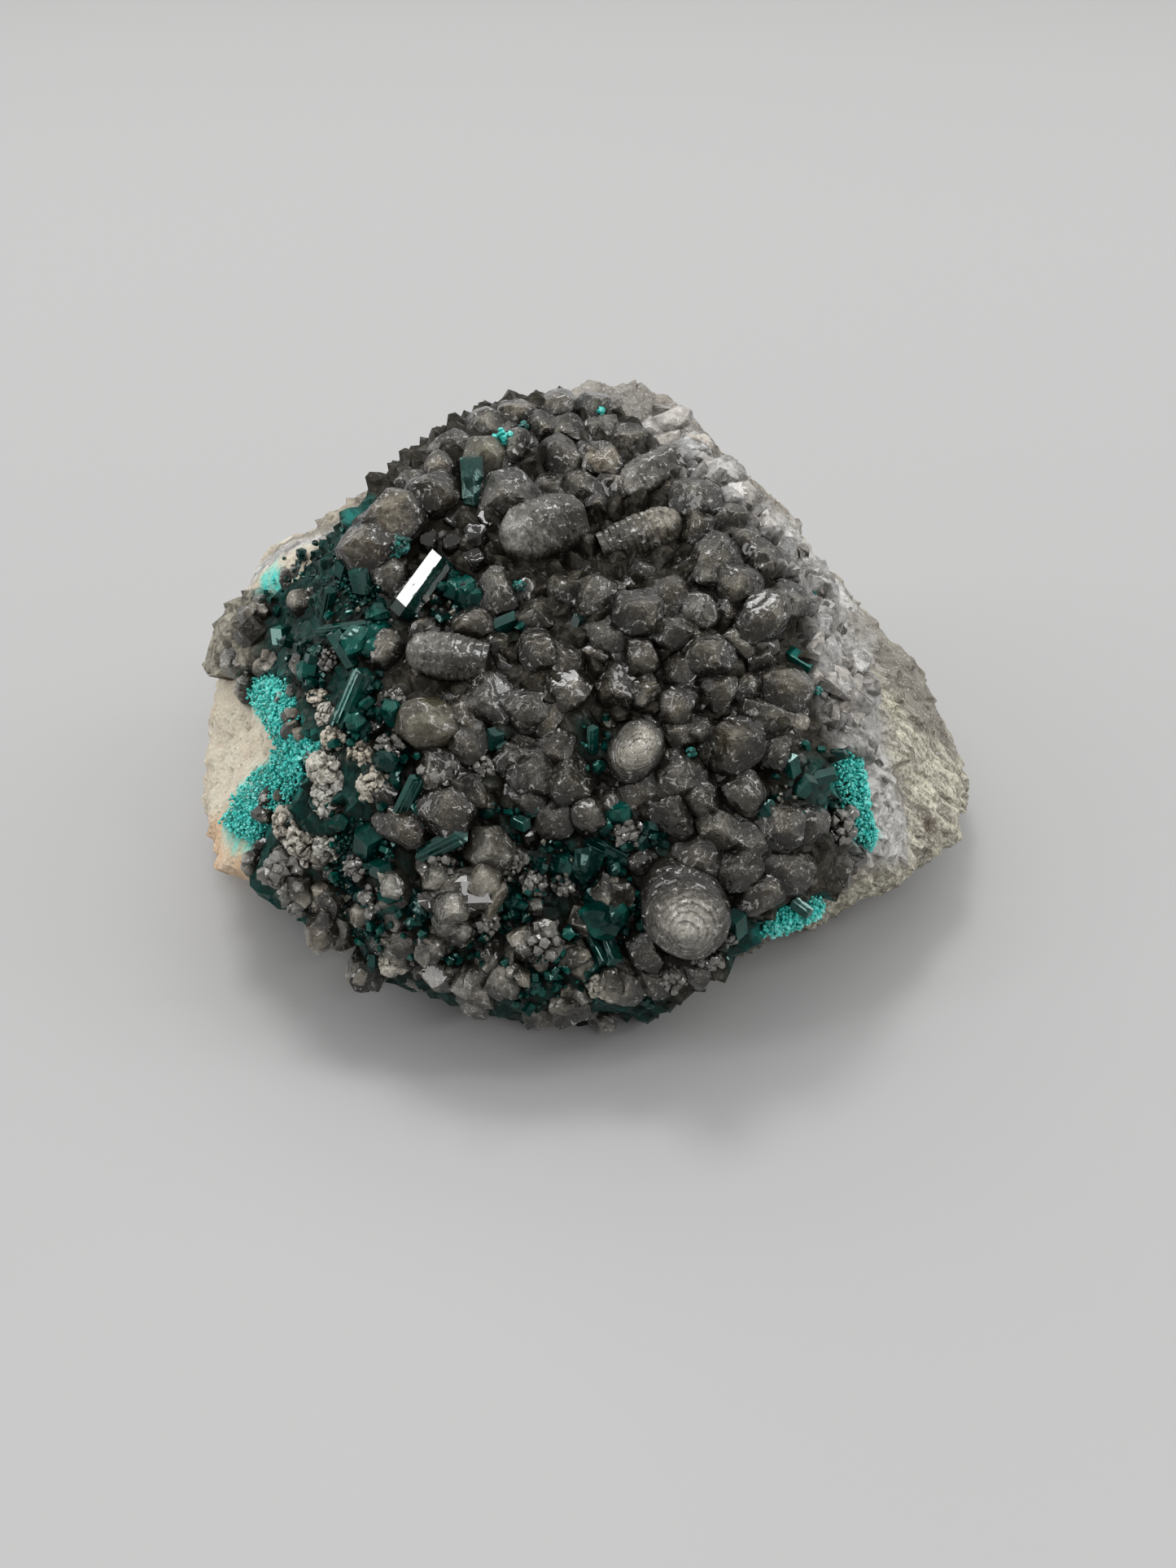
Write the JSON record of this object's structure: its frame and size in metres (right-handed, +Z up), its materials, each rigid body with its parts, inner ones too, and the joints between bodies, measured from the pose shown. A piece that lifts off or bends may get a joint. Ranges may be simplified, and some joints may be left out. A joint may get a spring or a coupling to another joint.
{
  "type": "dioptase mineral specimen",
  "caption": "Hand-sized lump of pale host rock with a crust of smoky calcite crystals, emerald dioptase prisms and turquoise druse on its front face.",
  "frame": {"origin": "on the ground under the middle of the specimen's bounding box", "axes": "+X along the specimen's long way, to the right as its crystal face is seen; -Y towards the viewer, the side that the crystals face; +Z up from the flat base"},
  "size_m": [0.0978, 0.084, 0.0508],
  "materials": {
    "host_rock": "rough, matt",
    "calcite": "translucent, waxy to glassy",
    "druse": "sugary, sparkling",
    "dioptase": "polished, transparent"
  },
  "bodies": {
    "root": {"host_rock": "host_rock", "calcite_crust": "calcite", "druse_left_band": "druse", "druse_upper_left": "druse", "druse_right": "druse", "druse_lower_right": "druse", "druse_lower_left": "druse", "druse_foot": "druse", "dioptase_bright_prism": "dioptase", "dioptase_upper_prism": "dioptase", "dioptase_shoulder_block": "dioptase", "dioptase_left_prism": "dioptase", "dioptase_left_upright": "dioptase", "dioptase_left_blade": "dioptase", "dioptase_left_bundle": "dioptase", "dioptase_far_left_block": "dioptase", "dioptase_dark_group": "dioptase", "dioptase_middle_prism": "dioptase", "dioptase_striped_prism": "dioptase", "dioptase_glinting_group": "dioptase", "dioptase_shaded_block": "dioptase", "dioptase_right_block": "dioptase", "dioptase_long_flat_prism": "dioptase", "dioptase_foot_blade": "dioptase", "dioptase_centre_group": "dioptase", "dioptase_dark_lens": "dioptase", "dioptase_small_glint": "dioptase", "dioptase_hollow_group": "dioptase", "dioptase_rim_prism": "dioptase", "dioptase_rim_sliver": "dioptase", "dioptase_right_hollow_group": "dioptase", "dioptase_lower_right_block": "dioptase", "dioptase_lower_right_glassy": "dioptase", "dioptase_lower_left_body": "dioptase", "dioptase_lower_left_flake": "dioptase"}
  },
  "joints": []
}
